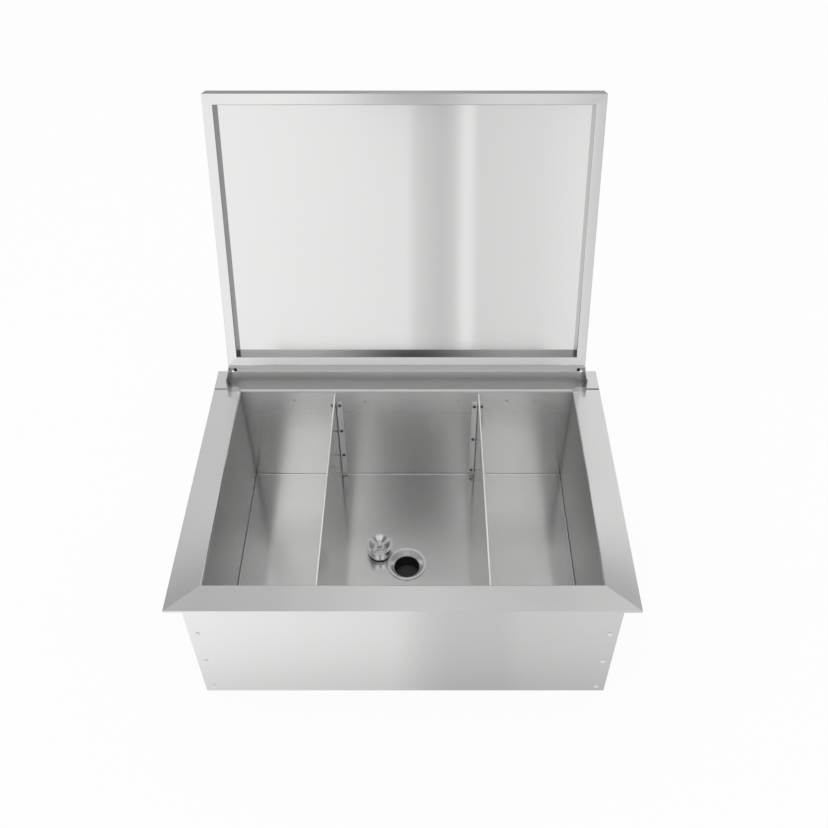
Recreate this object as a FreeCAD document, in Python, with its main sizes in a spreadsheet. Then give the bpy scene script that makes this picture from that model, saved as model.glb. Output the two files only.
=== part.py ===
# A built-in ice bin: an insulated steel basin that hangs by its rim in a worktop, under a hinged lid.
# Millimetres. X runs to the right, Y to the back and Z up. The origin is the middle of the base's
# underside, below the middle of the rim. The lid stands open on its stops.
import FreeCAD, Part
import math
import os
import types
import Sketcher

SIZES = {
    # Rim: four mitred rails folded from sheet
    "rim_width": 700.0,
    "rim_depth": 515.0,
    "rim_height": 4.0,
    "rail_side": 49.0,
    "rail_front": 46.0,
    "rail_rear": 48.5,
    "sheet": 1.2,
    "seat_width": 12.0,
    "nose_height": 6.0,
    "nose_radius": 2.4,
    # Basin
    "basin_depth": 233.0,
    "basin_radius": 2.0,
    # Outer shell and its rivets
    "shell_inset": 19.0,
    "shell_sheet": 1.0,
    "bin_height": 267.0,
    "panel_flange": 22.0,
    "rivet_radius": 2.0,
    "rivet_head_radius": 4.0,
    "rivet_head_height": 1.6,
    "rivet_head_rounding": 1.2,
    "rivet_tail_radius": 3.0,
    "rivet_tail_height": 1.2,
    "rivet_edge": 13.5,
    "rivet_pitch": 80.5,
    "rivet_gap": 0.05,
    # Foam between basin and shell
    "foam_gap": 2.5,
    # Dividers and the angles that guide them
    "divider_offset": 131.0,
    "divider_sheet": 1.5,
    "divider_drop": 8.0,
    "divider_end_gap": 0.8,
    "divider_floor_gap": 0.3,
    "hem_width": 3.4,
    "hem_height": 12.0,
    "hem_radius": 1.2,
    "divider_corner_radius": 6.0,
    "guide_flange": 8.0,
    "guide_leg": 10.0,
    "guide_sheet": 1.2,
    "guide_slot_gap": 1.0,
    "guide_hem_gap": 12.0,
    "guide_lift": 6.0,
    "screw_radius": 1.5,
    "screw_head_radius": 3.0,
    "screw_head_height": 1.8,
    "screw_head_rounding": 1.0,
    "screw_slot_width": 0.8,
    "screw_slot_depth": 0.9,
    "screw_bite": 5.0,
    "screw_gap": 0.1,
    "screw_drop_left": 40.0,
    "screw_lift_left": 58.0,
    "screw_drop_right": 43.0,
    "screw_lift_right": 14.0,
    # Drain fitting in the floor
    "drain_y": -7.5,
    "drain_flange_radius": 35.0,
    "drain_flange_height": 1.6,
    "drain_ring_width": 2.4,
    "drain_lip_rounding": 0.3,
    "drain_groove_width": 0.9,
    "drain_groove_depth": 0.8,
    "drain_land_width": 0.8,
    "drain_wall": 1.4,
    "drain_dish_depth": 9.0,
    "drain_throat_radius": 23.2,
    "drain_bore_radius": 22.0,
    "drain_thread_radius": 24.6,
    "drain_tail_radius": 23.9,
    "drain_tail_length": 32.0,
    "drain_thread_runout": 1.0,
    "drain_hole_gap": 0.4,
    "drain_seal_height": 0.6,
    "gasket_width": 9.0,
    "gasket_height": 3.0,
    "locknut_height": 13.0,
    "locknut_rim_height": 3.0,
    "locknut_grip_radius": 34.0,
    "locknut_notch_radius": 3.0,
    "locknut_notches": 8.0,
    "thread_gap": 0.05,
    "drain_well_gap": 8.0,
    # Loose drain plug
    "plug_x": -50.0,
    "plug_y": 20.0,
    "plug_rim_radius": 24.0,
    "plug_rim_width": 1.4,
    "plug_rim_drop": 1.5,
    "plug_waist_radius": 23.4,
    "plug_waist_height": 9.0,
    "plug_foot_radius": 21.5,
    "plug_height": 26.0,
    "plug_wall": 1.2,
    "plug_groove_width": 2.2,
    "plug_groove_depth": 3.0,
    "plug_ring_width": 1.4,
    "plug_dish_radius": 9.0,
    "plug_dish_depth": 6.0,
    "plug_seal_width": 5.0,
    "plug_seal_height": 3.0,
    "stem_radius": 2.6,
    "stem_gap": 0.08,
    "knob_radius": 4.5,
    "knob_height": 8.0,
    "knob_rise": 2.0,
    "knob_rounding": 1.8,
    "stopper_radius": 12.0,
    "stopper_height": 3.0,
    "stopper_lift": 0.5,
    # Lid
    "lid_inset_side": 26.0,
    "lid_inset_front": 19.5,
    "lid_thickness": 38.0,
    "lid_recess": 18.5,
    "lid_flange_side": 17.0,
    "lid_flange_front": 17.4,
    "lid_flange_rear": 15.6,
    "lid_bend_radius": 2.4,
    "lid_panel_sheet": 1.0,
    "lid_seat_gap": 0.4,
    "lid_lean": 18.0,
    # Hinge
    "hinge_back": 8.5,
    "hinge_rise": 15.0,
    "leaf_width": 14.0,
    "leaf_leg": 16.0,
    "leaf_edge": 0.8,
    "lug_width": 4.6,
    "barrel_radius": 6.0,
    "barrel_end": 13.0,
    "leaf_end": 0.6,
    "leaf_bush_gap": 0.6,
    "bush_length": 20.0,
    "bush_collar": 6.0,
    "pin_radius": 3.0,
    "pin_gap": 0.05,
    "pin_head_radius": 4.4,
    "pin_head_height": 1.4,
    "pin_head_rounding": 0.8,
    "bracket_sheet": 2.0,
    "bracket_length": 46.0,
    "bracket_edge": 0.5,
    "ear_margin": 1.2,
    "ear_side_gap": 0.5,
    "ear_rounding": 3.0,
    "stop_radius": 1.5,
    "stop_along": 6.8,
    "stop_gap": 0.2,
    "stop_reach": 4.0,
}

OVERCUT = 10.0


class Term:
    """A size together with the spreadsheet formula that gives it."""

    def __init__(self, value, formula):
        self.value = value
        self.formula = formula

    def __add__(self, other):
        other = term(other)
        return Term(self.value + other.value, "(%s + %s)" % (self.formula, other.formula))

    def __radd__(self, other):
        return term(other) + self

    def __sub__(self, other):
        other = term(other)
        return Term(self.value - other.value, "(%s - %s)" % (self.formula, other.formula))

    def __rsub__(self, other):
        return term(other) - self

    def __mul__(self, other):
        other = term(other)
        return Term(self.value * other.value, "(%s * %s)" % (self.formula, other.formula))

    def __rmul__(self, other):
        return term(other) * self

    def __truediv__(self, other):
        other = term(other)
        return Term(self.value / other.value, "(%s / %s)" % (self.formula, other.formula))

    def __neg__(self):
        return term(0.0) - self


def term(size):
    """A plain number becomes a term with no cell behind it."""
    if isinstance(size, Term):
        return size
    return Term(float(size), "(%r)" % float(size))


def sine(angle):
    return Term(math.sin(math.radians(angle.value)), "sin(%s * 1 deg)" % angle.formula)


def cosine(angle):
    return Term(math.cos(math.radians(angle.value)), "cos(%s * 1 deg)" % angle.formula)


def fill_sheet(doc):
    """Writes the driving dimensions into the sheet and returns a term for each alias."""
    sheet = doc.addObject("Spreadsheet::Sheet", "dims")
    cells = {}
    for row, (alias, value) in enumerate(SIZES.items(), 1):
        sheet.set("A%d" % row, alias)
        sheet.set("B%d" % row, str(value))
        sheet.setAlias("B%d" % row, alias)
        cells[alias] = Term(value, "dims.%s" % alias)
    doc.recompute()
    return types.SimpleNamespace(**cells)


doc = FreeCAD.newDocument("ice_bin")
d = fill_sheet(doc)
sub_parts = []

# Places that several pieces share
base_z = term(0.0)
rim_top = base_z + d.bin_height
seat_z = rim_top - d.rim_height
rim_under = rim_top - d.sheet
rim_right = d.rim_width / 2
rim_back = d.rim_depth / 2
open_right = rim_right - d.rail_side
open_front = d.rail_front - rim_back
open_back = rim_back - d.rail_rear
basin_right = open_right + d.sheet
basin_front = open_front - d.sheet
basin_back = open_back + d.sheet
basin_middle = (basin_front + basin_back) / 2
floor_top = rim_top - d.basin_depth
floor_under = floor_top - d.sheet
liner_top = rim_top - d.nose_radius
shell_right = rim_right - d.shell_inset
shell_back = rim_back - d.shell_inset
base_top = base_z + d.shell_sheet
slot_half = d.divider_sheet / 2 + d.guide_slot_gap
screw_offset = slot_half + (d.guide_sheet + d.guide_flange) / 2
SCREWS_PER_GUIDE = 3
RIVETS_PER_EDGE = 3


def screw_column(divider_x, drop, lift):
    """A divider's place, the height of its first screws and the pitch down to its last ones."""
    first = rim_top - drop
    return divider_x, first, (first - floor_top - lift) / (SCREWS_PER_GUIDE - 1)


screw_columns = (
    screw_column(-d.divider_offset, d.screw_drop_left, d.screw_lift_left),
    screw_column(d.divider_offset, d.screw_drop_right, d.screw_lift_right),
)

# The lid in its own frame: closed, with the hinge axis as origin
lid_right = rim_right - d.lid_inset_side
lid_back = -d.leaf_width
lid_front = d.lid_inset_front + d.hinge_back - d.rim_depth
lid_middle = (lid_front + lid_back) / 2
lid_under = d.lid_seat_gap - d.hinge_rise
lid_top = lid_under + d.lid_thickness
panel_under = lid_under + d.lid_recess
panel_top = panel_under + d.lid_panel_sheet
barrel_right = lid_right - d.barrel_end
leaf_right = lid_right - d.leaf_end
bush_radius = d.barrel_radius - d.sheet

# The hinge axis in the bin's frame
hinge_y = rim_back - d.hinge_back
hinge_z = rim_top + d.hinge_rise
lid_angle = d.lid_lean + 90.0
ear_inside = lid_right + d.ear_side_gap
ear_outside = ear_inside + d.bracket_sheet


def bind(thing, name, size):
    thing.setExpression(name, term(size).formula)


def new_body(label):
    """An empty body that becomes one sub-part."""
    body = doc.addObject("PartDesign::Body", label)
    body.Label = label
    sub_parts.append(body)
    return body


def new_sketch(body, role, offset=None):
    """A sketch on one of the body's own origin planes, or parallel to it."""
    plane = next(feature for feature in body.Origin.OriginFeatures if feature.Role == role)
    sketch = body.newObject("Sketcher::SketchObject", body.Label + "_sketch")
    sketch.AttachmentSupport = [(plane, "")]
    sketch.MapMode = "FlatFace"
    if offset is not None:
        bind(sketch, "AttachmentOffset.Base.z", offset)
    return sketch


def constrain(sketch, kind, *geometry, size):
    """Adds a dimension and binds it to its formula."""
    index = sketch.addConstraint(Sketcher.Constraint(kind, *geometry, size.value))
    bind(sketch, "Constraints[%d]" % index, size)


def draw_outline(sketch, *points):
    """A closed outline of straight sides with every corner dimensioned from the sketch's origin."""
    corners = [(term(x), term(y)) for x, y in points]
    first = sketch.GeometryCount
    count = len(corners)
    for index, (x, y) in enumerate(corners):
        next_x, next_y = corners[(index + 1) % count]
        start = FreeCAD.Vector(x.value, y.value, 0)
        end = FreeCAD.Vector(next_x.value, next_y.value, 0)
        sketch.addGeometry(Part.LineSegment(start, end), False)
    for index in range(count):
        following = first + (index + 1) % count
        sketch.addConstraint(Sketcher.Constraint("Coincident", first + index, 2, following, 1))
    for index, (x, y) in enumerate(corners):
        constrain(sketch, "DistanceX", first + index, 1, size=x)
        constrain(sketch, "DistanceY", first + index, 1, size=y)


def draw_rectangle(sketch, left, right, low, high):
    draw_outline(sketch, (left, low), (right, low), (right, high), (left, high))


def draw_circle(sketch, x, y, radius):
    x, y = term(x), term(y)
    centre = FreeCAD.Vector(x.value, y.value, 0)
    index = sketch.addGeometry(Part.Circle(centre, FreeCAD.Vector(0, 0, 1), radius.value), False)
    constrain(sketch, "Radius", index, size=radius)
    constrain(sketch, "DistanceX", index, 3, size=x)
    constrain(sketch, "DistanceY", index, 3, size=y)


def add_pad(body, sketch, length, side="One side", reverse=False):
    pad = body.newObject("PartDesign::Pad", body.Label + "_pad")
    pad.Profile = sketch
    pad.SideType = side
    pad.Reversed = reverse
    bind(pad, "Length", length)
    doc.recompute()
    return pad


def add_pocket(body, sketch, length=None, side="One side", reverse=False):
    """Cuts the sketch out of the body, right through it if no length is given."""
    before = body.Shape.Volume
    pocket = body.newObject("PartDesign::Pocket", body.Label + "_pocket")
    pocket.Profile = sketch
    pocket.SideType = side
    pocket.Reversed = reverse
    if length is None:
        pocket.Type = "ThroughAll"
    else:
        bind(pocket, "Length", length)
    doc.recompute()
    if body.Shape.Volume >= before:
        raise RuntimeError("a pocket of %s cuts nothing" % body.Label)


def add_revolution(body, sketch):
    """Turns the sketch once round its own upright axis."""
    turn = body.newObject("PartDesign::Revolution", body.Label + "_turn")
    turn.Profile = sketch
    turn.ReferenceAxis = (sketch, ["V_Axis"])
    turn.Angle = 360.0
    doc.recompute()


def lies_at(edge, **places):
    """True if the whole edge lies at each of the given x, y and z places."""
    box = edge.BoundBox
    spans = {"x": (box.XMin, box.XMax), "y": (box.YMin, box.YMax), "z": (box.ZMin, box.ZMax)}
    return all(
        abs(limit - term(place).value) < 1e-3 for axis, place in places.items() for limit in spans[axis]
    )


def round_edges(body, radius, *places):
    """Rounds the edges that lie at any one of the places."""
    base = body.Tip
    names = [
        "Edge%d" % number
        for number, edge in enumerate(base.Shape.Edges, 1)
        if any(lies_at(edge, **place) for place in places)
    ]
    if not names:
        raise RuntimeError("no edges of %s to round" % body.Label)
    fillet = body.newObject("PartDesign::Fillet", body.Label + "_rounding")
    fillet.Base = (base, names)
    bind(fillet, "Radius", radius)
    doc.recompute()


def place(body, x=0.0, y=0.0, z=0.0):
    for axis, size in zip("xyz", (x, y, z)):
        bind(body, "Placement.Base.%s" % axis, size)


def place_on_lid(body):
    """Moves a piece drawn in the lid's frame to the hinge and turns it open."""
    body.Placement.Rotation = FreeCAD.Rotation(FreeCAD.Vector(-1, 0, 0), lid_angle.value)
    bind(body, "Placement.Rotation.Angle", lid_angle * Term(1.0, "1 deg"))
    place(body, y=hinge_y, z=hinge_z)


def mitred_rail(label, outer, inner, low, high, role, hollow):
    """A folded rail with its ends cut on the mitre: a block on a four-cornered plan, hollowed from below."""
    body = new_body(label)
    plan = new_sketch(body, "XY_Plane", low)
    draw_outline(plan, outer[0], outer[1], inner[1], inner[0])
    add_pad(body, plan, high - low)
    section = new_sketch(body, role)
    draw_outline(section, *hollow)
    add_pocket(body, section, side="Symmetric")
    return body


def build_rim_rails():
    outer = {
        "front_left": (-rim_right, -rim_back),
        "front_right": (rim_right, -rim_back),
        "rear_right": (rim_right, rim_back),
        "rear_left": (-rim_right, rim_back),
    }
    inner = {
        "front_left": (-open_right, open_front),
        "front_right": (open_right, open_front),
        "rear_right": (open_right, open_back),
        "rear_left": (-open_right, open_back),
    }
    nose_bottom = rim_top - d.nose_height
    rails = (
        ("front", "front_left", "front_right", "YZ_Plane", "y", -rim_back, open_front, 1),
        ("rear", "rear_right", "rear_left", "YZ_Plane", "y", rim_back, open_back, -1),
        ("left", "rear_left", "front_left", "XZ_Plane", "x", -rim_right, -open_right, 1),
        ("right", "front_right", "rear_right", "XZ_Plane", "x", rim_right, open_right, -1),
    )
    for side, start, end, role, axis, edge, nose, inward in rails:
        outside = edge - inward * OVERCUT
        behind_nose = nose - inward * d.sheet
        behind_edge = edge + inward * d.sheet
        seat_end = edge + inward * d.seat_width
        hollow = (
            (outside, seat_z),
            (seat_end, seat_z),
            (seat_end, seat_z + d.sheet),
            (behind_edge, seat_z + d.sheet),
            (behind_edge, rim_under),
            (behind_nose, rim_under),
            (behind_nose, nose_bottom - OVERCUT),
            (outside, nose_bottom - OVERCUT),
        )
        corners = (outer[start], outer[end]), (inner[start], inner[end])
        body = mitred_rail("rim_rail_" + side, *corners, nose_bottom, rim_top, role, hollow)
        round_edges(body, d.nose_radius, {axis: nose, "z": rim_top})
        round_edges(body, d.nose_radius - d.sheet, {axis: behind_nose, "z": rim_under})


def draw_screw_holes(sketch, radius):
    """The guide screws, seen along Y: two columns beside each divider."""
    for divider_x, first, pitch in screw_columns:
        for side in (-1, 1):
            for row in range(SCREWS_PER_GUIDE):
                draw_circle(sketch, divider_x + side * screw_offset, first - row * pitch, radius)


def round_tub(body, radius, bottom, right, front, back):
    """Rounds the four edges round the bottom of a tub. Its upright corners are welded sharp."""
    sides = [{"x": side * right, "z": bottom} for side in (-1, 1)]
    ends = [{"y": y, "z": bottom} for y in (front, back)]
    round_edges(body, radius, *sides, *ends)


def build_liner():
    body = new_body("basin_liner")
    outside = new_sketch(body, "XY_Plane", floor_under)
    wall = d.sheet
    draw_rectangle(outside, -basin_right - wall, basin_right + wall, basin_front - wall, basin_back + wall)
    add_pad(body, outside, liner_top - floor_under)
    inside = new_sketch(body, "XY_Plane", liner_top)
    draw_rectangle(inside, -basin_right, basin_right, basin_front, basin_back)
    add_pocket(body, inside, liner_top - floor_top)
    round_tub(body, d.basin_radius, floor_top, basin_right, basin_front, basin_back)
    skin = basin_right + wall, basin_front - wall, basin_back + wall
    round_tub(body, d.basin_radius + wall, floor_under, *skin)
    hole = new_sketch(body, "XY_Plane", floor_top)
    draw_circle(hole, 0, d.drain_y, drain_hole_radius)
    add_pocket(body, hole, d.sheet)
    screws = new_sketch(body, "XZ_Plane", -basin_middle)
    draw_screw_holes(screws, d.screw_radius + d.screw_gap)
    add_pocket(body, screws, side="Symmetric")


def rivet_places():
    """X and Z of the rivets, seen along Y."""
    for side in (-1, 1):
        for row in range(RIVETS_PER_EDGE):
            yield side * (shell_right - d.rivet_edge), base_z + d.rivet_edge + row * d.rivet_pitch


def drill_rivets(body):
    sketch = new_sketch(body, "XZ_Plane")
    for x, z in rivet_places():
        if abs(x.value - body.Shape.BoundBox.Center.x) < body.Shape.BoundBox.XLength / 2:
            draw_circle(sketch, x, z, d.rivet_radius + d.rivet_gap)
    add_pocket(body, sketch, side="Symmetric")


def build_shell():
    wall = d.shell_sheet
    for name, side in (("front", -1), ("rear", 1)):
        body = new_body("shell_" + name)
        plan = new_sketch(body, "XY_Plane", base_z)
        draw_rectangle(plan, -shell_right, shell_right, side * shell_back, side * (shell_back - wall))
        add_pad(body, plan, rim_under - base_z)
        drill_rivets(body)
    end = shell_back - wall
    for name, side in (("left", -1), ("right", 1)):
        body = new_body("shell_" + name)
        plan = new_sketch(body, "XY_Plane", base_z)
        outside = side * shell_right
        inside = side * (shell_right - wall)
        flange = side * (shell_right - d.panel_flange)
        draw_outline(
            plan,
            (outside, -end),
            (outside, end),
            (flange, end),
            (flange, end - wall),
            (inside, end - wall),
            (inside, wall - end),
            (flange, wall - end),
            (flange, -end),
        )
        add_pad(body, plan, rim_under - base_z)
        drill_rivets(body)
    body = new_body("shell_base")
    tray_right = shell_right - wall
    tray_back = end - wall
    plan = new_sketch(body, "XY_Plane", base_z)
    draw_rectangle(plan, -tray_right, tray_right, -tray_back, tray_back)
    add_pad(body, plan, d.panel_flange)
    hollow = new_sketch(body, "XY_Plane", base_z + d.panel_flange)
    draw_rectangle(hollow, wall - tray_right, tray_right - wall, wall - tray_back, tray_back - wall)
    add_pocket(body, hollow, d.panel_flange - wall)
    well = new_sketch(body, "XY_Plane", base_top)
    draw_circle(well, 0, d.drain_y, drain_well_radius)
    add_pocket(body, well, wall)
    drill_rivets(body)


def build_rivets():
    """Rivets through the end panels, the side panels' flanges and, lowest, the base's flange."""
    grip = 3 * d.shell_sheet
    for name, side in (("front", -1), ("rear", 1)):
        body = new_body("shell_rivets_" + name)
        inner = side * (shell_back - grip)
        steps = (
            (side * shell_back, d.rivet_head_radius, d.rivet_head_height, side > 0),
            (side * shell_back, d.rivet_radius, grip, side < 0),
            (inner, d.rivet_tail_radius, d.rivet_tail_height, side < 0),
        )
        for y, radius, length, backward in steps:
            sketch = new_sketch(body, "XZ_Plane", -y)
            for x, z in rivet_places():
                draw_circle(sketch, x, z, radius)
            add_pad(body, sketch, length, reverse=backward)
        round_edges(body, d.rivet_head_rounding, {"y": side * (shell_back + d.rivet_head_height)})


def build_foam():
    body = new_body("foam_jacket")
    right = shell_right - 2 * d.shell_sheet
    back = shell_back - 3 * d.shell_sheet - d.foam_gap
    plan = new_sketch(body, "XY_Plane", base_top)
    draw_rectangle(plan, -right, right, -back, back)
    add_pad(body, plan, rim_under - base_top)
    wall = d.sheet
    hollow = new_sketch(body, "XY_Plane", rim_under)
    draw_rectangle(hollow, -basin_right - wall, basin_right + wall, basin_front - wall, basin_back + wall)
    add_pocket(body, hollow, rim_under - floor_under)
    well = new_sketch(body, "XY_Plane", floor_under)
    draw_circle(well, 0, d.drain_y, drain_well_radius)
    add_pocket(body, well, floor_under - base_top)
    screws = new_sketch(body, "XZ_Plane", -basin_middle)
    draw_screw_holes(screws, d.screw_radius + d.screw_gap)
    reach = basin_back - basin_middle + wall + d.screw_bite + d.screw_gap
    add_pocket(body, screws, 2 * reach, side="Symmetric")


def build_guides():
    """An angle on each side of each divider, on the front and rear walls, and the screws that hold it."""
    low = floor_top + d.guide_lift
    high = rim_top - d.divider_drop - d.hem_height - d.guide_hem_gap
    walls = (("rear", basin_back, -1), ("front", basin_front, 1))
    hands = (("left", screw_columns[0]), ("right", screw_columns[1]))
    for wall_name, wall_y, inward in walls:
        for hand, (divider_x, first, pitch) in hands:
            for edge_name, side in (("left_edge", -1), ("right_edge", 1)):
                body = new_body("guide_%s_%s_%s" % (wall_name, hand, edge_name))
                slot = divider_x + side * slot_half
                leg = slot + side * d.guide_sheet
                flange = slot + side * (d.guide_sheet + d.guide_flange)
                plan = new_sketch(body, "XY_Plane", low)
                draw_outline(
                    plan,
                    (slot, wall_y),
                    (flange, wall_y),
                    (flange, wall_y + inward * d.guide_sheet),
                    (leg, wall_y + inward * d.guide_sheet),
                    (leg, wall_y + inward * d.guide_leg),
                    (slot, wall_y + inward * d.guide_leg),
                )
                add_pad(body, plan, high - low)
                holes = new_sketch(body, "XZ_Plane", -wall_y)
                for row in range(SCREWS_PER_GUIDE):
                    x = divider_x + side * screw_offset
                    draw_circle(holes, x, first - row * pitch, d.screw_radius + d.screw_gap)
                add_pocket(body, holes, side="Symmetric")
        build_guide_screws("guide_screws_" + wall_name, wall_y, inward)


def build_guide_screws(label, wall_y, inward):
    body = new_body(label)
    face = wall_y + inward * d.guide_sheet
    head_top = face + inward * d.screw_head_height
    heads = new_sketch(body, "XZ_Plane", -face)
    draw_screw_holes(heads, d.screw_head_radius)
    add_pad(body, heads, d.screw_head_height, reverse=inward > 0)
    round_edges(body, d.screw_head_rounding, {"y": head_top})
    shanks = new_sketch(body, "XZ_Plane", -face)
    draw_screw_holes(shanks, d.screw_radius)
    add_pad(body, shanks, d.guide_sheet + d.sheet + d.screw_bite, reverse=inward < 0)
    slots = new_sketch(body, "XZ_Plane", -head_top)
    half = d.screw_slot_width / 2
    for divider_x, first, pitch in screw_columns:
        for side in (-1, 1):
            for row in range(SCREWS_PER_GUIDE):
                x = divider_x + side * screw_offset
                z = first - row * pitch
                reach = d.screw_head_radius
                draw_rectangle(slots, x - reach, x + reach, z - half, z + half)
    add_pocket(body, slots, d.screw_slot_depth, reverse=inward > 0)


def build_dividers():
    """Hemmed sheets that drop between the guides and lift out."""
    top = rim_top - d.divider_drop
    low = floor_top + d.divider_floor_gap
    hem_low = top - d.hem_height
    half = d.divider_sheet / 2
    hem = d.hem_width / 2
    length = open_back - open_front - 2 * d.divider_end_gap
    for name, x in (("left", -d.divider_offset), ("right", d.divider_offset)):
        body = new_body("divider_" + name)
        section = new_sketch(body, "XZ_Plane")
        draw_outline(
            section,
            (-half, low),
            (half, low),
            (half, hem_low),
            (hem, hem_low),
            (hem, top),
            (-hem, top),
            (-hem, hem_low),
            (-half, hem_low),
        )
        add_pad(body, section, length, side="Symmetric")
        round_edges(body, d.hem_radius, *[{"x": side * hem, "z": top} for side in (-1, 1)])
        round_edges(body, d.divider_corner_radius, *[{"y": side * length / 2, "z": low} for side in (-1, 1)])
        place(body, x=x, y=(open_front + open_back) / 2)


def turned_piece(label, *outline):
    """A piece of revolution whose outline gives radius and height."""
    body = new_body(label)
    profile = new_sketch(body, "XZ_Plane")
    draw_outline(profile, *outline)
    add_revolution(body, profile)
    return body


# The drain's dish, shared by the pieces that pass or hold it
drain_lip_under = d.drain_seal_height
drain_lip_top = drain_lip_under + d.drain_flange_height
drain_cup_radius = d.drain_flange_radius - d.drain_ring_width - d.drain_groove_width
drain_hole_radius = drain_cup_radius + d.drain_hole_gap
locknut_top = -d.sheet - d.gasket_height
locknut_rim_radius = drain_hole_radius + d.gasket_width
drain_well_radius = locknut_rim_radius + d.drain_well_gap


def build_drain():
    """A dished flange on a threaded tail, sealed above and below the floor and pulled down by a nut."""
    dish_bottom = drain_lip_top - d.drain_dish_depth
    tail_top = dish_bottom - d.drain_wall
    tail_end = -d.drain_tail_length
    nut_bottom = locknut_top - d.locknut_height
    thread_end = nut_bottom - d.drain_thread_runout
    ring_inside = d.drain_flange_radius - d.drain_ring_width
    groove_bottom = drain_lip_top - d.drain_groove_depth
    flange = turned_piece(
        "drain_flange",
        (d.drain_throat_radius, tail_top),
        (d.drain_thread_radius, tail_top),
        (drain_cup_radius, drain_lip_under),
        (d.drain_flange_radius, drain_lip_under),
        (d.drain_flange_radius, drain_lip_top),
        (ring_inside, drain_lip_top),
        (ring_inside, groove_bottom),
        (drain_cup_radius, groove_bottom),
        (drain_cup_radius, drain_lip_top),
        (drain_cup_radius - d.drain_land_width, drain_lip_top),
        (d.drain_throat_radius, dish_bottom),
    )
    round_edges(flange, d.drain_lip_rounding, {"z": drain_lip_top})
    tail = turned_piece(
        "drain_tail",
        (d.drain_bore_radius, tail_end),
        (d.drain_tail_radius, tail_end),
        (d.drain_tail_radius, thread_end),
        (d.drain_thread_radius, thread_end),
        (d.drain_thread_radius, tail_top),
        (d.drain_bore_radius, tail_top),
    )
    seal = turned_piece(
        "drain_seal",
        (drain_hole_radius, 0),
        (d.drain_flange_radius, 0),
        (d.drain_flange_radius, drain_lip_under),
        (drain_hole_radius, drain_lip_under),
    )
    gasket = turned_piece(
        "drain_gasket",
        (drain_hole_radius, locknut_top),
        (locknut_rim_radius, locknut_top),
        (locknut_rim_radius, -d.sheet),
        (drain_hole_radius, -d.sheet),
    )
    thread = d.drain_thread_radius + d.thread_gap
    thread_top = tail_top - d.drain_wall
    locknut = turned_piece(
        "drain_locknut",
        (thread, nut_bottom),
        (d.locknut_grip_radius, nut_bottom),
        (d.locknut_grip_radius, locknut_top - d.locknut_rim_height),
        (locknut_rim_radius, locknut_top - d.locknut_rim_height),
        (locknut_rim_radius, locknut_top),
        (drain_hole_radius, locknut_top),
        (thread, thread_top),
    )
    notch = new_sketch(locknut, "XY_Plane", nut_bottom)
    draw_circle(notch, d.locknut_grip_radius, 0, d.locknut_notch_radius)
    add_pocket(locknut, notch, d.locknut_height - d.locknut_rim_height, reverse=True)
    ring = locknut.newObject("PartDesign::PolarPattern", "locknut_notches")
    ring.Originals = [locknut.Tip]
    ring.Axis = (notch, ["N_Axis"])
    ring.Angle = 360.0
    bind(ring, "Occurrences", d.locknut_notches)
    locknut.Tip = ring
    for piece in (flange, tail, seal, gasket, locknut):
        place(piece, y=d.drain_y, z=floor_top)


def build_plug():
    """The loose plug on the floor: a dished cup, its rubber foot and a knob that lifts the stopper."""
    rim_height = d.plug_height - d.plug_rim_drop
    rim_inside = d.plug_rim_radius - d.plug_rim_width
    ring_outside = rim_inside - d.plug_groove_width
    ring_inside = ring_outside - d.plug_ring_width
    groove_low = d.plug_height - d.plug_groove_depth
    dish_low = d.plug_height - d.plug_dish_depth
    stem_hole = d.stem_radius + d.stem_gap
    cup = turned_piece(
        "plug_cup",
        (d.plug_foot_radius, d.plug_seal_height),
        (d.plug_waist_radius, d.plug_waist_height),
        (d.plug_rim_radius, groove_low),
        (d.plug_rim_radius, rim_height),
        (rim_inside, rim_height),
        (rim_inside, groove_low),
        (ring_outside, groove_low),
        (ring_outside, d.plug_height),
        (ring_inside, d.plug_height),
        (d.plug_dish_radius, dish_low),
        (stem_hole, dish_low),
        (stem_hole, dish_low - d.plug_wall),
        (d.plug_dish_radius + d.plug_wall, dish_low - d.plug_wall),
        (ring_inside, groove_low - d.plug_wall),
        (d.plug_waist_radius - d.plug_wall, groove_low - d.plug_wall),
        (d.plug_waist_radius - d.plug_wall, d.plug_waist_height),
        (d.plug_foot_radius - d.plug_wall, d.plug_seal_height),
    )
    seal_inner = d.plug_foot_radius - d.plug_seal_width
    seal = turned_piece(
        "plug_seal",
        (seal_inner, 0),
        (d.plug_foot_radius, 0),
        (d.plug_foot_radius, d.plug_seal_height),
        (seal_inner, d.plug_seal_height),
    )
    knob_low = dish_low + d.knob_rise
    stopper_top = d.stopper_lift + d.stopper_height
    knob = turned_piece(
        "plug_knob",
        (0, stopper_top),
        (d.stem_radius, stopper_top),
        (d.stem_radius, knob_low),
        (d.knob_radius, knob_low),
        (d.knob_radius, knob_low + d.knob_height),
        (0, knob_low + d.knob_height),
    )
    round_edges(knob, d.knob_rounding, {"z": knob_low + d.knob_height})
    stopper = turned_piece(
        "plug_stopper",
        (0, d.stopper_lift),
        (d.stopper_radius, d.stopper_lift),
        (d.stopper_radius, stopper_top),
        (0, stopper_top),
    )
    for piece in (cup, seal, knob, stopper):
        place(piece, x=d.plug_x, y=d.plug_y, z=floor_top)


def build_lid_skin():
    body = new_body("lid_skin")
    plan = new_sketch(body, "XY_Plane", lid_under)
    draw_rectangle(plan, -lid_right, lid_right, lid_front, lid_back)
    add_pad(body, plan, d.lid_thickness)
    round_edges(body, d.lid_bend_radius, {"z": lid_top})
    wall = d.sheet
    hollow = new_sketch(body, "XY_Plane", lid_under)
    draw_rectangle(hollow, wall - lid_right, lid_right - wall, lid_front + wall, lid_back - wall)
    add_pocket(body, hollow, d.lid_thickness - wall, reverse=True)
    place_on_lid(body)


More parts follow.
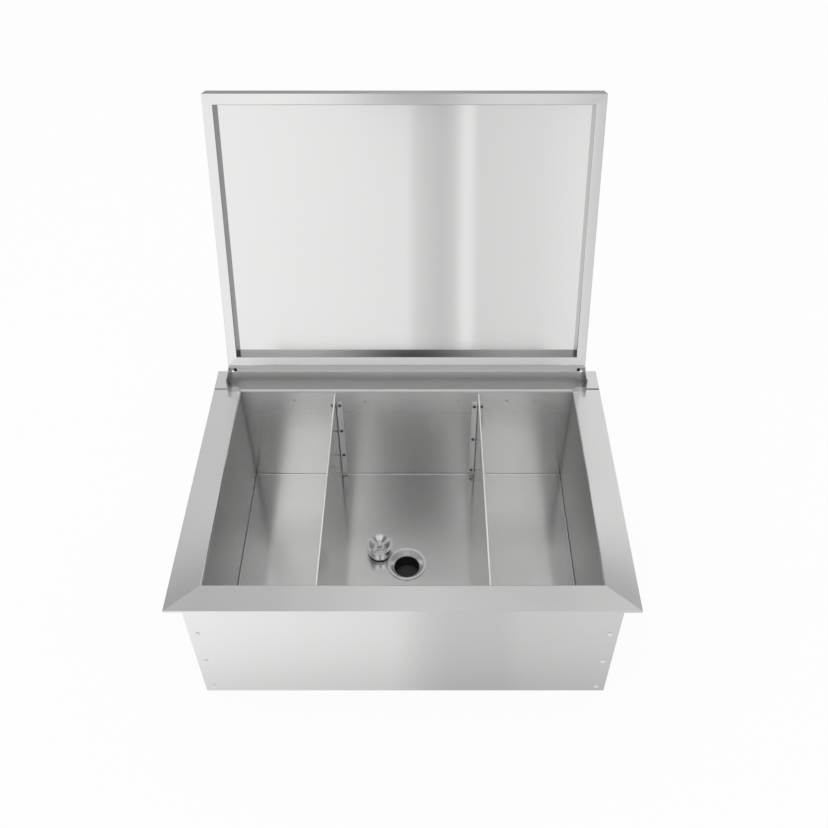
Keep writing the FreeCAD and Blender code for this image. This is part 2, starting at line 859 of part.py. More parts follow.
def build_lid_rails():
    """The mitred frame round the lid's underside: a flange and an inner wall on each side."""
    wall = d.sheet
    x_out = lid_right - wall
    front_out = lid_front + wall
    back_out = lid_back - wall
    x_in = lid_right - d.lid_flange_side
    front_in = lid_front + d.lid_flange_front
    back_in = lid_back - d.lid_flange_rear
    outer = {
        "front_left": (-x_out, front_out),
        "front_right": (x_out, front_out),
        "rear_right": (x_out, back_out),
        "rear_left": (-x_out, back_out),
    }
    inner = {
        "front_left": (-x_in, front_in),
        "front_right": (x_in, front_in),
        "rear_right": (x_in, back_in),
        "rear_left": (-x_in, back_in),
    }
    rails = (
        ("front", "front_left", "front_right", "YZ_Plane", "y", front_out, front_in, 1),
        ("rear", "rear_right", "rear_left", "YZ_Plane", "y", back_out, back_in, -1),
        ("left", "rear_left", "front_left", "XZ_Plane", "x", -x_out, -x_in, 1),
        ("right", "front_right", "rear_right", "XZ_Plane", "x", x_out, x_in, -1),
    )
    for side, start, end, role, axis, edge, inside, inward in rails:
        outside = edge - inward * OVERCUT
        behind = inside - inward * wall
        hollow = (
            (outside, lid_under + wall),
            (behind, lid_under + wall),
            (behind, panel_under + OVERCUT),
            (outside, panel_under + OVERCUT),
        )
        corners = (outer[start], outer[end]), (inner[start], inner[end])
        body = mitred_rail("lid_rail_" + side, *corners, lid_under, panel_under, role, hollow)
        round_edges(body, wall, {axis: inside, "z": lid_under})
        place_on_lid(body)


def build_lid_panels():
    """The inner panel that the frame stands on and the thin pad between it and the skin."""
    wall = d.sheet
    layers = (
        ("lid_panel", panel_under, panel_top),
        ("lid_pad", panel_top, lid_top - wall),
    )
    for label, low, high in layers:
        body = new_body(label)
        plan = new_sketch(body, "XY_Plane", low)
        draw_rectangle(plan, wall - lid_right, lid_right - wall, lid_front + wall, lid_back - wall)
        add_pad(body, plan, high - low)
        place_on_lid(body)


def build_hinge_leaf():
    """A folded leaf: a leg on the lid's back wall, a sloping web, a rolled barrel and a lug at each end."""
    half = d.sheet / 2
    web_low = lid_under + d.leaf_edge
    body = new_body("lid_hinge_leaf")
    leaf = new_sketch(body, "YZ_Plane")
    draw_outline(
        leaf,
        (0, -d.barrel_radius),
        (0, -bush_radius),
        (lid_back + d.sheet, web_low + d.sheet),
        (lid_back + d.sheet, d.leaf_leg),
        (lid_back, d.leaf_leg),
        (lid_back, web_low),
    )
    add_pad(body, leaf, 2 * leaf_right, side="Symmetric")
    notch = new_sketch(body, "XY_Plane")
    notch_front = -bush_radius - d.leaf_bush_gap
    for side in (-1, 1):
        draw_rectangle(notch, side * barrel_right, side * (leaf_right + OVERCUT), notch_front, OVERCUT)
    add_pocket(body, notch, side="Symmetric")
    for side in (-1, 1):
        lug = new_sketch(body, "YZ_Plane", side * leaf_right)
        draw_rectangle(lug, lid_back, notch_front, -half, half)
        add_pad(body, lug, d.lug_width, reverse=side > 0)
    barrel = new_sketch(body, "YZ_Plane")
    draw_circle(barrel, 0, 0, d.barrel_radius)
    add_pad(body, barrel, 2 * barrel_right, side="Symmetric")
    bore = new_sketch(body, "YZ_Plane")
    draw_circle(bore, 0, 0, bush_radius)
    add_pocket(body, bore, side="Symmetric")
    place_on_lid(body)


def build_hinge_bushes():
    for name, side in (("left", -1), ("right", 1)):
        body = new_body("lid_bush_" + name)
        ring = new_sketch(body, "YZ_Plane", side * (barrel_right + d.bush_collar))
        draw_circle(ring, 0, 0, bush_radius)
        draw_circle(ring, 0, 0, d.pin_radius + d.pin_gap)
        add_pad(body, ring, d.bush_length + d.bush_collar, reverse=side > 0)
        place_on_lid(body)


# The stop pin stands behind the open leaf: along the leaf from the hinge axis, then square to it
stop_away = d.sheet / 2 + d.stop_gap + d.stop_radius
stop_y = hinge_y + d.stop_along * sine(d.lid_lean) + stop_away * cosine(d.lid_lean)
stop_z = hinge_z + d.stop_along * cosine(d.lid_lean) - stop_away * sine(d.lid_lean)


def build_hinge_brackets():
    """An angle on each rear corner of the rim, with an ear that holds the hinge pin and the stop pin."""
    plate_top = rim_top + d.bracket_sheet
    ear_top = stop_z + d.stop_radius + d.ear_margin
    back = rim_back - d.bracket_edge
    front = back - d.bracket_length
    for name, side in (("left", -1), ("right", 1)):
        body = new_body("hinge_bracket_" + name)
        section = new_sketch(body, "XZ_Plane", -back)
        outside = side * (rim_right - d.bracket_edge)
        draw_outline(
            section,
            (side * ear_inside, rim_top),
            (outside, rim_top),
            (outside, plate_top),
            (side * ear_outside, plate_top),
            (side * ear_outside, ear_top),
            (side * ear_inside, ear_top),
        )
        add_pad(body, section, d.bracket_length)
        round_edges(body, d.ear_rounding, {"y": front, "z": ear_top})
        holes = new_sketch(body, "YZ_Plane")
        draw_circle(holes, hinge_y, hinge_z, d.pin_radius + d.pin_gap)
        draw_circle(holes, stop_y, stop_z, d.stop_radius + d.pin_gap)
        add_pocket(body, holes, side="Symmetric")


def build_hinge_pins():
    for name, side in (("left", -1), ("right", 1)):
        pin = new_body("hinge_pin_" + name)
        shank = new_sketch(pin, "YZ_Plane", side * ear_outside)
        draw_circle(shank, 0, 0, d.pin_radius)
        add_pad(pin, shank, ear_outside - barrel_right + d.bush_length, reverse=side > 0)
        head = new_sketch(pin, "YZ_Plane", side * ear_outside)
        draw_circle(head, 0, 0, d.pin_head_radius)
        add_pad(pin, head, d.pin_head_height, reverse=side < 0)
        round_edges(pin, d.pin_head_rounding, {"x": side * (ear_outside + d.pin_head_height)})
        place(pin, y=hinge_y, z=hinge_z)
        stop = new_body("stop_pin_" + name)
        rod = new_sketch(stop, "YZ_Plane", side * ear_outside)
        draw_circle(rod, 0, 0, d.stop_radius)
        add_pad(stop, rod, ear_outside - leaf_right + d.stop_reach, reverse=side > 0)
        place(stop, y=stop_y, z=stop_z)


def check_and_export():
    doc.recompute()
    for thing in doc.Objects:
        if "Invalid" in thing.State or "Error" in thing.State:
            raise RuntimeError("%s failed: %s" % (thing.Label, thing.State))
    for body in sub_parts:
        if body.Shape.isNull() or not body.Shape.isValid():
            raise RuntimeError("%s has no valid shape" % body.Label)
    os.makedirs("parts", exist_ok=True)
    for body in sub_parts:
        body.Shape.exportStep("parts/%s.step" % body.Label)
    print("%d sub-parts written" % len(sub_parts))


build_rim_rails()
build_liner()
build_shell()
build_rivets()
build_foam()
build_guides()
build_dividers()
build_drain()
build_plug()
build_lid_skin()
build_lid_rails()
build_lid_panels()
build_hinge_leaf()
build_hinge_bushes()
build_hinge_brackets()
build_hinge_pins()
check_and_export()
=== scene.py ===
# Dresses the packed ice bin: brushed steel, chrome and rubber, on a pale floor in soft studio light.
import math
import bmesh
import bpy
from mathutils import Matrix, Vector


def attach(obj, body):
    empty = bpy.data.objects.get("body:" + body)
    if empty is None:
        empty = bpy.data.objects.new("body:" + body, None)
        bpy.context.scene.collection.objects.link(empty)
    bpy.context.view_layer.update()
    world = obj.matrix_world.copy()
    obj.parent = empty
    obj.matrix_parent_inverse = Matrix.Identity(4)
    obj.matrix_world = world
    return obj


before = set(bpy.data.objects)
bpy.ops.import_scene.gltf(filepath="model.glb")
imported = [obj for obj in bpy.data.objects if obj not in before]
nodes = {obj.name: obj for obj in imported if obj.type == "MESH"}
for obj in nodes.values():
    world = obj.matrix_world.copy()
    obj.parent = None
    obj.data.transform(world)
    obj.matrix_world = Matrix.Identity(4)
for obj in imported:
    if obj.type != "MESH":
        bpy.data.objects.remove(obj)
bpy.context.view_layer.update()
scene = bpy.context.scene
scene.view_settings.view_transform = "Standard"

# How far the open lid leans back from upright
LID_LEAN = math.radians(18.0)
LEAN_SIN = math.sin(LID_LEAN)
LEAN_COS = math.cos(LID_LEAN)

# Where most of a noise's values lie
NOISE_LOW = 0.3
NOISE_HIGH = 0.7


# Node graph building blocks

class Graph:
    """A node tree with short calls to add and link nodes."""

    def __init__(self, tree):
        self.tree = tree
        self.tree.nodes.clear()

    def add(self, kind, **settings):
        node = self.tree.nodes.new(kind)
        for key, value in settings.items():
            setattr(node, key, value)
        return node

    def link(self, source, target):
        self.tree.links.new(source, target)

    def feed(self, value, target):
        """Sets a plain number on a socket, or links another socket to it."""
        if isinstance(value, float):
            target.default_value = value
        else:
            self.link(value, target)

    def place(self):
        """Where a point lies in its own object, in metres."""
        return self.add("ShaderNodeTexCoord").outputs["Object"]

    def split(self, vector):
        node = self.add("ShaderNodeSeparateXYZ")
        self.link(vector, node.inputs["Vector"])
        return node.outputs["X"], node.outputs["Y"], node.outputs["Z"]

    def noise(self, vector, scale, detail=3.0, rough=0.55):
        node = self.add("ShaderNodeTexNoise")
        node.inputs["Scale"].default_value = scale
        node.inputs["Detail"].default_value = detail
        node.inputs["Roughness"].default_value = rough
        self.link(vector, node.inputs["Vector"])
        return node.outputs["Fac"]

    def mapped(self, vector, scale, turn_x=0.0):
        node = self.add("ShaderNodeMapping")
        node.inputs["Scale"].default_value = scale
        node.inputs["Rotation"].default_value = (turn_x, 0.0, 0.0)
        self.link(vector, node.inputs["Vector"])
        return node.outputs["Vector"]

    def spread(self, value, low, high, from_low=NOISE_LOW, from_high=NOISE_HIGH):
        """Stretches one range of a value to another, and stops at its ends."""
        node = self.add("ShaderNodeMapRange")
        node.inputs["From Min"].default_value = from_low
        node.inputs["From Max"].default_value = from_high
        node.inputs["To Min"].default_value = low
        node.inputs["To Max"].default_value = high
        self.link(value, node.inputs["Value"])
        return node.outputs["Result"]

    def math(self, operation, first, second=0.0):
        node = self.add("ShaderNodeMath", operation=operation)
        for value, socket in zip((first, second), node.inputs):
            self.feed(value, socket)
        return node.outputs["Value"]

    def mix(self, factor, first, second):
        """A number that turns from the first to the second."""
        node = self.add("ShaderNodeMix", data_type="FLOAT")
        self.feed(factor, node.inputs["Factor"])
        self.feed(first, node.inputs["A"])
        self.feed(second, node.inputs["B"])
        return node.outputs["Result"]

    def blend(self, factor, first, color):
        """A colour that turns from one on a socket to a plain one."""
        node = self.add("ShaderNodeMix", data_type="RGBA")
        self.link(factor, node.inputs["Factor"])
        self.link(first, node.inputs["A"])
        node.inputs["B"].default_value = (*color, 1.0)
        return node.outputs["Result"]

    def ramp(self, value, *stops):
        """Colours along a value, each stop a position from 0 to 1 and a colour."""
        node = self.add("ShaderNodeValToRGB")
        elements = node.color_ramp.elements
        while len(elements) < len(stops):
            elements.new(0.5)
        for element, (position, color) in zip(elements, stops):
            element.position = position
            element.color = (*color, 1.0)
        self.link(value, node.inputs["Fac"])
        return node.outputs["Color"]

    def curve(self, value, *stops):
        """A brightness along a value, each stop a place on it and the brightness there."""
        low, high = stops[0][0], stops[-1][0]
        share = self.spread(value, 0.0, 1.0, low, high)
        return self.ramp(share, *(((at - low) / (high - low), (level,) * 3) for at, level in stops))

    def mix_shader(self, factor, first, second):
        """A shader that turns from the first to the second."""
        node = self.add("ShaderNodeMixShader")
        self.feed(factor, node.inputs["Fac"])
        self.link(first, node.inputs[1])
        self.link(second, node.inputs[2])
        return node.outputs["Shader"]

    def finish(self, shader, kind="ShaderNodeOutputMaterial"):
        """Sends a shader to the output."""
        self.link(shader, self.add(kind).inputs["Surface"])


def new_material(name):
    material = bpy.data.materials.new(name)
    material.use_nodes = True
    return material, Graph(material.node_tree)


def tint(color, factor):
    return tuple(min(1.0, channel * factor) for channel in color)


def add_relief(g, shader, height, strength, depth):
    relief = g.add("ShaderNodeBump")
    relief.inputs["Strength"].default_value = strength
    relief.inputs["Distance"].default_value = depth
    g.link(height, relief.inputs["Height"])
    g.link(relief.outputs["Normal"], shader.inputs["Normal"])


# Brushed steel

# Scratches: their scale along and across the grain, and the scale, detail and roughness of their noise
LONG = 2.0
FINE = 150.0
SCRATCH_NOISE = (6.0, 2.0, 0.6)
SCRATCH_DEPTH = 0.0004
STREAK = 0.03
# Each grain: the scale of its scratches, the direction across it and the lean of its axes
GRAIN = {
    "x": ((LONG, FINE, FINE), (0.0, 1.0, 1.0), 0.0),
    "y": ((FINE, LONG, FINE), (1.0, 0.0, 1.0), 0.0),
    "z": ((FINE, FINE, LONG), (1.0, 1.0, 0.0), 0.0),
    "lid_x": ((LONG, FINE, FINE), (0.0, LEAN_COS + LEAN_SIN, LEAN_COS - LEAN_SIN), LID_LEAN),
    "lid_up": ((FINE, FINE, LONG), (1.0, LEAN_COS, -LEAN_SIN), LID_LEAN),
}
# Faint clouds: the scale and detail of their noise, and their share of the colour
CLOUD_NOISE = (9.0, 4.0)
CLOUDS = 0.02
# How much scratches and clouds change the gloss, and where the sum of their noises mostly lies
UNEVEN_GLOSS = 0.12
GLOSS_RANGE = (0.7, 1.3)
# Brighter edges, partly wear and partly a painted highlight: width, samples, strength and tint, and how well
# rounded and flat normals agree there
EDGE_WIDTH = 0.0008
EDGE_SAMPLES = 2
EDGE_WEAR_AND_HIGHLIGHT = 0.6
EDGE_TINT = 1.15
EDGE_TURN = (0.85, 0.99)
# How well a face agrees with the main one, from a fold or wall to the main face itself
AWAY_TURN = (0.6, 0.95)

# The basin: its inner end and rear walls, and how folds, seams, rear corners and walls differ from its
# floor, with painted shade in the rear corners and on the end walls
BASIN_END = 0.3022
BASIN_BACK = 0.2102
BASIN_STREAK = 0.01
BASIN_BUMP = 0.002
BASIN_UNEVEN = 0.02
WALL_DULL = 1.5
FOLD_GAIN = 2.0
FOLD_ROUGH = 0.5
SEAM_GAIN = 1.6
CORNER_REACH = 0.03
CORNER_POWER = 2.0
CORNER_GAIN = 0.5
WALL_POWER = 4.0
WELD_AND_SHADE_TINT = 0.40
# Painted shade on the end walls by y, and how metallic the front and rear walls are by z
END_DARK = ((-0.21, 1.0), (-0.10, 0.80), (0.0, 0.50), (0.10, 0.30), (0.21, 0.15))
HAZE = ((0.15, 1.0), (0.265, 0.45))


def fixed_tangent(g, across):
    """The direction across the grain, which turns with the piece."""
    turn = g.add("ShaderNodeVectorTransform", vector_type="VECTOR", convert_from="OBJECT",
                 convert_to="WORLD")
    turn.inputs["Vector"].default_value = across
    return turn.outputs["Vector"]


def edge_wear_and_highlight(g):
    """One along the bends and edges of the sheet, where handling polishes it, and where a painted highlight
    stands for edges catching light.
    """
    bevel = g.add("ShaderNodeBevel", samples=EDGE_SAMPLES)
    bevel.inputs["Radius"].default_value = EDGE_WIDTH
    facing = g.add("ShaderNodeVectorMath", operation="DOT_PRODUCT")
    g.link(bevel.outputs["Normal"], facing.inputs[0])
    g.link(g.add("ShaderNodeNewGeometry").outputs["Normal"], facing.inputs[1])
    return g.spread(facing.outputs["Value"], 1.0, 0.0, *EDGE_TURN)


def away_from(g, axis):
    """One on the faces of a piece that turn away from its main face, such as a fold or a wall."""
    facing = g.add("ShaderNodeVectorMath", operation="DOT_PRODUCT")
    g.link(g.add("ShaderNodeTexCoord").outputs["Normal"], facing.inputs[0])
    facing.inputs[1].default_value = axis
    return g.spread(g.math("ABSOLUTE", facing.outputs["Value"]), 1.0, 0.0, *AWAY_TURN)


def finish_steel(g, color, rough, blur, scratches, tangent, streak, bump, metal=1.0, side=None,
                 weld_and_painted_shade=None, uneven=UNEVEN_GLOSS):
    """The shader of all brushed steel. With side, faces off the main one have their own metal and a tint
    that paints shade on them below one and a highlight above one.
    """
    clouds = g.noise(g.place(), *CLOUD_NOISE)
    shade = g.math("ADD", g.math("MULTIPLY", scratches, streak), g.math("MULTIPLY", clouds, CLOUDS))
    full = streak + CLOUDS
    dark = tint(color, 1.0 - full / 2.0)
    light = tint(color, 1.0 + full / 2.0)
    base = g.ramp(g.spread(shade, 0.0, 1.0, 0.0, full), (0.0, dark), (1.0, light))
    # Lighter edges: wear, and a painted highlight where the sheet's edges would catch light
    base = g.blend(g.math("MULTIPLY", edge_wear_and_highlight(g), EDGE_WEAR_AND_HIGHLIGHT), base, tint(color, EDGE_TINT))
    # Darker weld seams, and in the basin painted shade in its rear corners and on its end walls
    if weld_and_painted_shade is not None:
        base = g.blend(weld_and_painted_shade, base, tint(color, WELD_AND_SHADE_TINT))
    # Painted shade or painted highlight on the faces turned off the main one, by the side tint
    if side is not None:
        axis, side_tint, side_metal = side
        turned = away_from(g, axis)
        base = g.blend(turned, base, tint(color, side_tint))
        if side_metal != metal:
            metal = g.mix(turned, metal, side_metal)
    gloss = g.spread(g.math("ADD", scratches, clouds), 1.0 - uneven, 1.0 + uneven, *GLOSS_RANGE)
    shader = g.add("ShaderNodeBsdfPrincipled")
    g.link(base, shader.inputs["Base Color"])
    g.feed(metal, shader.inputs["Metallic"])
    g.link(g.math("MULTIPLY", gloss, rough), shader.inputs["Roughness"])
    shader.inputs["Anisotropic"].default_value = blur
    g.link(tangent, shader.inputs["Tangent"])
    add_relief(g, shader, scratches, bump, SCRATCH_DEPTH)
    g.finish(shader.outputs["BSDF"])


def brushed_steel(name, color, rough, grain, blur, bump=0.012, **finish):
    """Steel with its grain along one axis: fine scratches, faint clouds, and edges brightened by wear and a
    painted highlight.
    """
    material, g = new_material(name)
    scale, across, lean = GRAIN[grain]
    scratches = g.noise(g.mapped(g.place(), scale, lean), *SCRATCH_NOISE)
    finish_steel(g, color, rough, blur, scratches, fixed_tangent(g, across), STREAK, bump, **finish)
    return material


def folded_steel(name, color, rough, blur):
    """The basin's sheet: its grain runs across the floor, and turns up the end walls with the folds."""
    material, g = new_material(name)
    place = g.place()
    along = g.noise(g.mapped(place, GRAIN["x"][0]), *SCRATCH_NOISE)
    upright = g.noise(g.mapped(place, GRAIN["z"][0]), *SCRATCH_NOISE)
    normal = g.add("ShaderNodeNewGeometry").outputs["Normal"]
    end_wall, long_wall, level = [g.math("ABSOLUTE", part) for part in g.split(normal)]
    scratches = g.mix(end_wall, along, upright)

    # The direction across the grain: y on the floor and end walls, z on the front and rear walls
    across = g.add("ShaderNodeCombineXYZ")
    g.link(level, across.inputs["Y"])
    g.link(g.math("SUBTRACT", 1.0, level), across.inputs["Z"])
    sideways = g.add("ShaderNodeCombineXYZ")
    sideways.inputs["Y"].default_value = 1.0
    tangent = g.add("ShaderNodeMix", data_type="VECTOR")
    g.link(end_wall, tangent.inputs["Factor"])
    g.link(across.outputs["Vector"], tangent.inputs["A"])
    g.link(sideways.outputs["Vector"], tangent.inputs["B"])

    # Duller walls and folds
    fold = g.math("MULTIPLY", g.math("MULTIPLY", end_wall, level), FOLD_GAIN)
    gloss = g.mix(fold, g.mix(level, rough * WALL_DULL, rough), FOLD_ROUGH)

    # Darker weld seams, and painted shade in the rear corners and on the end walls
    x, y, z = g.split(place)
    seam = g.math("MULTIPLY", end_wall, long_wall)
    near_end = g.spread(g.math("ABSOLUTE", x), 0.0, 1.0, BASIN_END - CORNER_REACH, BASIN_END)
    near_rear = g.spread(y, 0.0, 1.0, BASIN_BACK - CORNER_REACH, BASIN_BACK)
    corner_shade = g.math("POWER", g.math("MULTIPLY", near_end, near_rear), CORNER_POWER)
    weld_and_painted_shade = g.math("ADD", g.math("MULTIPLY", seam, SEAM_GAIN), g.math("MULTIPLY", corner_shade, CORNER_GAIN))
    dark = g.math("MULTIPLY", g.math("POWER", end_wall, WALL_POWER), g.curve(y, *END_DARK))
    weld_and_painted_shade = g.math("ADD", weld_and_painted_shade, dark)

    # A haze that grows towards the top of the front and rear walls
    metal = g.mix(g.math("POWER", long_wall, WALL_POWER), 1.0, g.curve(z, *HAZE))
    finish_steel(g, color, gloss, blur, scratches, tangent.outputs["Result"], BASIN_STREAK, BASIN_BUMP,
                 metal=metal, weld_and_painted_shade=weld_and_painted_shade, uneven=BASIN_UNEVEN)
    return material


# Plain solids

# Detail of the fine and the broad noise, how much larger the broad one is, and their shares of the colour
FINE_DETAIL = 4.0
BROAD_DETAIL = 3.0
BROAD_SIZE = 10.0
FINE_SHARE = 0.4
BROAD_SHARE = 0.6
# How much the broad noise changes the gloss, and the depth of the fine marks
GLOSS_SPREAD = 0.25
MARK_DEPTH = 0.0005


def plain_solid(name, color, rough, grain, metallic=0.0, vary=0.08, bump=0.05, shine=0.5):
    """Chrome, rubber, plastic or foam: even colour with fine mottling, and marks in its gloss and relief."""
    material, g = new_material(name)
    place = g.place()
    fine = g.noise(place, grain, FINE_DETAIL)
    broad = g.noise(place, grain / BROAD_SIZE, BROAD_DETAIL)
    mottle = g.math("ADD", g.math("MULTIPLY", fine, FINE_SHARE), g.math("MULTIPLY", broad, BROAD_SHARE))
    dark = tint(color, 1.0 - vary)
    light = tint(color, 1.0 + vary)
    gloss = g.spread(broad, rough * (1.0 - GLOSS_SPREAD), rough * (1.0 + GLOSS_SPREAD))
    shader = g.add("ShaderNodeBsdfPrincipled")
    g.link(g.ramp(mottle, (NOISE_LOW, dark), (NOISE_HIGH, light)), shader.inputs["Base Color"])
    g.link(gloss, shader.inputs["Roughness"])
    shader.inputs["Metallic"].default_value = metallic
    shader.inputs["Specular IOR Level"].default_value = shine
    add_relief(g, shader, fine, bump, MARK_DEPTH)
    g.finish(shader.outputs["BSDF"])
    return material


# The look of each piece

LID = (0.82, 0.82, 0.815)
# Painted light: the lid's bottom rail is a lighter, less metallic copy of the lid steel
LID_FOOT_LIT = (0.93, 0.93, 0.925)
RIM = (0.80, 0.80, 0.795)
# Painted shade: the rim's rear rail is a darker, duller copy of the rim steel, shaded under the open lid
RIM_REAR_SHADED = (0.58, 0.58, 0.575)
SHELL = (0.82, 0.82, 0.815)
BASIN = (0.84, 0.84, 0.835)
WELD = (0.70, 0.70, 0.695)
DIVIDER = (0.74, 0.74, 0.735)
# Painted highlight: the guide strips are a near-white, barely metallic steel that shows as a bright strip
GUIDE_HIGHLIGHT = (0.96, 0.96, 0.955)
# Painted light: the hinge is a light, nearly non-metallic steel so that the down-facing web shows bright
HINGE_LIT = (0.92, 0.92, 0.915)
RIVET = (0.93, 0.93, 0.925)
# Painted shade: the screw heads are dark to stand for their recesses and shadow
SCREW_SHADED = (0.20, 0.20, 0.20)
SATIN = (0.88, 0.88, 0.88)
DRAIN = (0.96, 0.96, 0.955)
RUBBER = (0.035, 0.035, 0.036)
PLASTIC = (0.020, 0.020, 0.021)
NYLON = (0.72, 0.72, 0.70)
FOAM = (0.80, 0.73, 0.55)
# Main faces, and for faces that turn away from one, its axis and their tint and metallic; a tint above one
# is a painted highlight, below one painted shade
UP = (0.0, 0.0, 1.0)
ACROSS = (1.0, 0.0, 0.0)
LID_FACE = (0.0, -LEAN_COS, LEAN_SIN)
HINGE_WEB = (0.0, -0.981, -0.193)
# Painted highlights: a lighter tint on the rim's rear nose and on the divider hems
RIM_NOSE_HIGHLIGHT = (UP, 1.65, 0.2)
DIVIDER_HEM_HIGHLIGHT = (ACROSS, 1.25, 0.4)
# Painted shade: a darker tint on the lid's inner walls, the hinge barrel's turned sides and the bracket ears
LID_WALL_SHADE = (LID_FACE, 0.5, 1.0)
HINGE_FOLD_SHADE = (HINGE_WEB, 0.6, 0.9)
BRACKET_EAR_SHADE = (UP, 0.5, 1.0)
looks = {
    "rim_x": brushed_steel("rim_steel_x", RIM, 0.24, "x", blur=0.6),
    "rim_rear": brushed_steel("rim_steel_rear", RIM_REAR_SHADED, 0.42, "x", blur=0.3, side=RIM_NOSE_HIGHLIGHT),
    "rim_y": brushed_steel("rim_steel_y", RIM, 0.16, "y", blur=0.9),
    "basin": folded_steel("basin_steel", BASIN, 0.17, blur=0.85),
    "weld_and_painted_shade": plain_solid("weld_marks", WELD, 0.38, 400.0, metallic=1.0),
    "shell": brushed_steel("shell_steel", SHELL, 0.20, "x", blur=0.9),
    "shell_side": brushed_steel("shell_side_steel", SHELL, 0.22, "y", blur=0.8),
    "rivet": plain_solid("rivet_aluminium", RIVET, 0.35, 300.0, metallic=0.15, vary=0.03),
    "screw": plain_solid("screw_steel", SCREW_SHADED, 0.25, 300.0, metallic=1.0),
    "guide": brushed_steel("guide_steel", GUIDE_HIGHLIGHT, 0.34, "z", blur=0.2, metal=0.2),
    "divider": brushed_steel("divider_steel", DIVIDER, 0.20, "y", blur=0.8, side=DIVIDER_HEM_HIGHLIGHT),
    "satin": plain_solid("satin_chrome", SATIN, 0.26, 200.0, metallic=1.0, vary=0.03, bump=0.005),
    "drain": plain_solid("drain_steel", DRAIN, 0.16, 200.0, metallic=0.5, vary=0.02, bump=0.004),
    "rubber": plain_solid("black_rubber", RUBBER, 0.55, 400.0, vary=0.2, bump=0.1),
    "plastic": plain_solid("black_plastic", PLASTIC, 0.45, 300.0, vary=0.2, bump=0.06, shine=0.3),
    "nylon": plain_solid("white_nylon", NYLON, 0.45, 150.0),
    "foam": plain_solid("cream_foam", FOAM, 0.85, 500.0, vary=0.12, bump=0.4),
    "lid_x": brushed_steel("lid_steel_x", LID, 0.20, "lid_x", blur=0.7, side=LID_WALL_SHADE),
    "lid_low": brushed_steel("lid_steel_low", LID_FOOT_LIT, 0.30, "lid_x", blur=0.4, metal=0.3, side=LID_WALL_SHADE),
    "lid_up": brushed_steel("lid_steel_up", LID, 0.09, "lid_up", blur=0.8, side=LID_WALL_SHADE),
    "lid_panel": brushed_steel("lid_panel_steel", LID, 0.07, "lid_x", blur=1.0, bump=0.01),
    "lid_skin": brushed_steel("lid_skin_steel", LID, 0.20, "lid_x", blur=0.7),
    "hinge": brushed_steel("hinge_steel", HINGE_LIT, 0.36, "x", blur=0.5, metal=0.1, side=HINGE_FOLD_SHADE),
    "bracket": brushed_steel("bracket_steel", RIM, 0.25, "y", blur=0.6, side=BRACKET_EAR_SHADE),
}
# The first row that has the beginning of a node's name gives its look
LOOK_RULES = (
    (("rim_rail_left", "rim_rail_right"), "rim_y"),
    (("rim_rail_rear",), "rim_rear"),
    (("rim_rail",), "rim_x"),
    (("basin",), "basin"),
    (("shell_rivets",), "rivet"),
    (("shell_left", "shell_right"), "shell_side"),
    (("shell",), "shell"),
    (("guide_screws",), "screw"),
    (("guide",), "guide"),
    (("divider",), "divider"),
    (("drain_flange",), "drain"),
    (("plug_cup", "plug_knob"), "satin"),
    (("drain_seal", "drain_gasket", "plug_seal", "plug_stopper"), "rubber"),
    (("drain_tail", "lid_bush"), "plastic"),
    (("drain_locknut",), "nylon"),
    (("foam", "lid_pad"), "foam"),
    (("lid_rail_left", "lid_rail_right"), "lid_up"),
    (("lid_rail_rear",), "lid_low"),
    (("lid_panel",), "lid_panel"),
    (("lid_skin",), "lid_skin"),
    (("hinge_bracket",), "bracket"),
    (("lid_hinge", "hinge", "stop_pin"), "hinge"),
    (("lid",), "lid_x"),
)


def look_of(node):
    return next(look for beginnings, look in LOOK_RULES if node.startswith(beginnings))


def dress_nodes():
    for name, obj in nodes.items():
        obj.data.materials.clear()
        obj.data.materials.append(looks[look_of(name)])


# Faint spot welds along the top of the basin's rear wall, by x and z

WELDS = ((-0.2069, 0.2388), (-0.0768, 0.2352), (0.0935, 0.2367), (0.1838, 0.2388), (0.2334, 0.2367))
WELD_RADIUS = 0.0024
WELD_HEIGHT = 0.0004
WELD_SINK = 0.0002
WELD_SIDES = 20
WELD_RINGS = 4


def add_dome(mesh, x, z):
    """A low closed dome on the rear wall, sunk a little into the sheet."""
    turns = [2.0 * math.pi * side / WELD_SIDES for side in range(WELD_SIDES)]
    rings = []
    for step in range(WELD_RINGS):
        share = 1.0 - step / WELD_RINGS
        y = BASIN_BACK + WELD_SINK - (WELD_HEIGHT + WELD_SINK) * (1.0 - share * share)
        reach = WELD_RADIUS * share
        rings.append([mesh.verts.new((x + reach * math.cos(t), y, z + reach * math.sin(t))) for t in turns])
    for outer, inner in zip(rings, rings[1:]):
        for side in range(WELD_SIDES):
            after = (side + 1) % WELD_SIDES
            mesh.faces.new((outer[side], outer[after], inner[after], inner[side]))
    tip = mesh.verts.new((x, BASIN_BACK - WELD_HEIGHT, z))
    for side in range(WELD_SIDES):
        mesh.faces.new((rings[-1][side], rings[-1][(side + 1) % WELD_SIDES], tip))
    mesh.faces.new(rings[0])


def build_welds():
    marks = bmesh.new()
    for x, z in WELDS:
        add_dome(marks, x, z)
    bmesh.ops.recalc_face_normals(marks, faces=marks.faces)
    for face in marks.faces:
        face.smooth = True
    mesh = bpy.data.meshes.new("basin_weld_marks")
    marks.to_mesh(mesh)
    marks.free()
    mesh.materials.append(looks["weld_and_painted_shade"])
    piece = bpy.data.objects.new("basin_weld_marks", mesh)
    scene.collection.objects.link(piece)
    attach(piece, "bin")


# Floor

